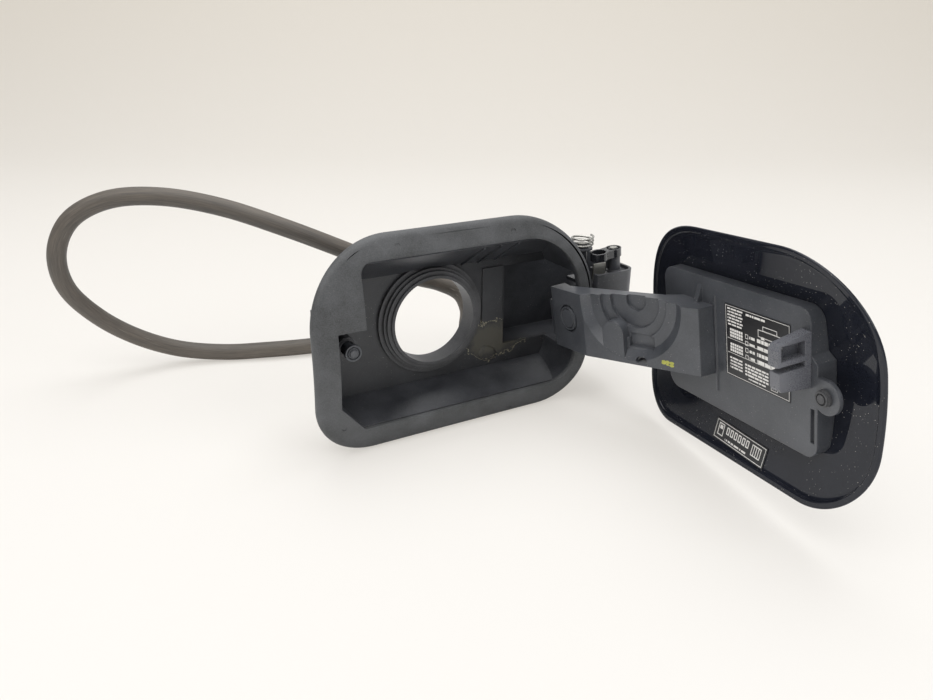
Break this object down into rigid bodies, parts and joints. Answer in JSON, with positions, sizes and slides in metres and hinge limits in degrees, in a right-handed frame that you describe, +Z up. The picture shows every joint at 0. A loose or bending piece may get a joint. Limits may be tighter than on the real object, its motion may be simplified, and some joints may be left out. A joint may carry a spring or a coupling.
{
  "type": "car fuel door",
  "caption": "Car fuel door: filler pot with a soft rim, push latch, hinged lid on a gooseneck arm with a cap cradle, and a drain hose.",
  "frame": {"origin": "on the neck bore's axis, at the front face of the pot's back wall", "axes": "+X to the hinge side, +Y into the car along the neck, +Z up; the lid is drawn open"},
  "size_m": [0.3959, 0.4744, 0.1684],
  "materials": {
    "pot_plastic": "satin moulded black, dusty",
    "rim_rubber": "matte, dusty",
    "collar_rubber": "matte",
    "arm_plastic": "satin",
    "gloss_black": "gloss",
    "lid_paint": "gloss black lacquer",
    "label": "black film with pale print",
    "steel": "zinc grey",
    "brass": "satin",
    "hose_rubber": "dusty grey-brown"
  },
  "bodies": {
    "pot": {"pot_housing": "pot_plastic", "pot_back": "pot_plastic", "rim_plate": "pot_plastic", "hinge_bay": "pot_plastic", "rim_seal": "rim_rubber", "neck_seal": "collar_rubber", "latch_housing": "pot_plastic", "latch_boot": "collar_rubber", "latch_spring": "steel", "latch_screws": "steel", "latch_terminals": "brass", "hinge_spring": "steel", "spring_clip": "steel", "drain_hose": "hose_rubber"},
    "lid": {"hinge_pin": "steel", "pin_clip": "steel", "hinge_bush": "pot_plastic", "spring_lever": "gloss_black", "lid_skin": "lid_paint", "lid_arm": "arm_plastic", "striker": "gloss_black", "bump_stop": "collar_rubber", "tether_button": "arm_plastic", "info_label": "label", "fuel_label": "label"},
    "plunger": {"latch_plunger": "arm_plastic", "plunger_tip": "arm_plastic"}
  },
  "joints": [
    {"name": "lid_hinge", "type": "hinge", "parent": "pot", "child": "lid", "pos_m": [0.144, -0.0353, 0], "axis": [-0.1219, 0, 0.9925], "range_deg": [-81, 0]},
    {"name": "latch_push", "type": "slide", "parent": "pot", "child": "plunger", "axis": [0, 1, 0], "range_m": [0, 0.006], "stiffness_N_per_m": 400, "springref_m": -0.008, "deforming": ["latch_spring"]}
  ]
}
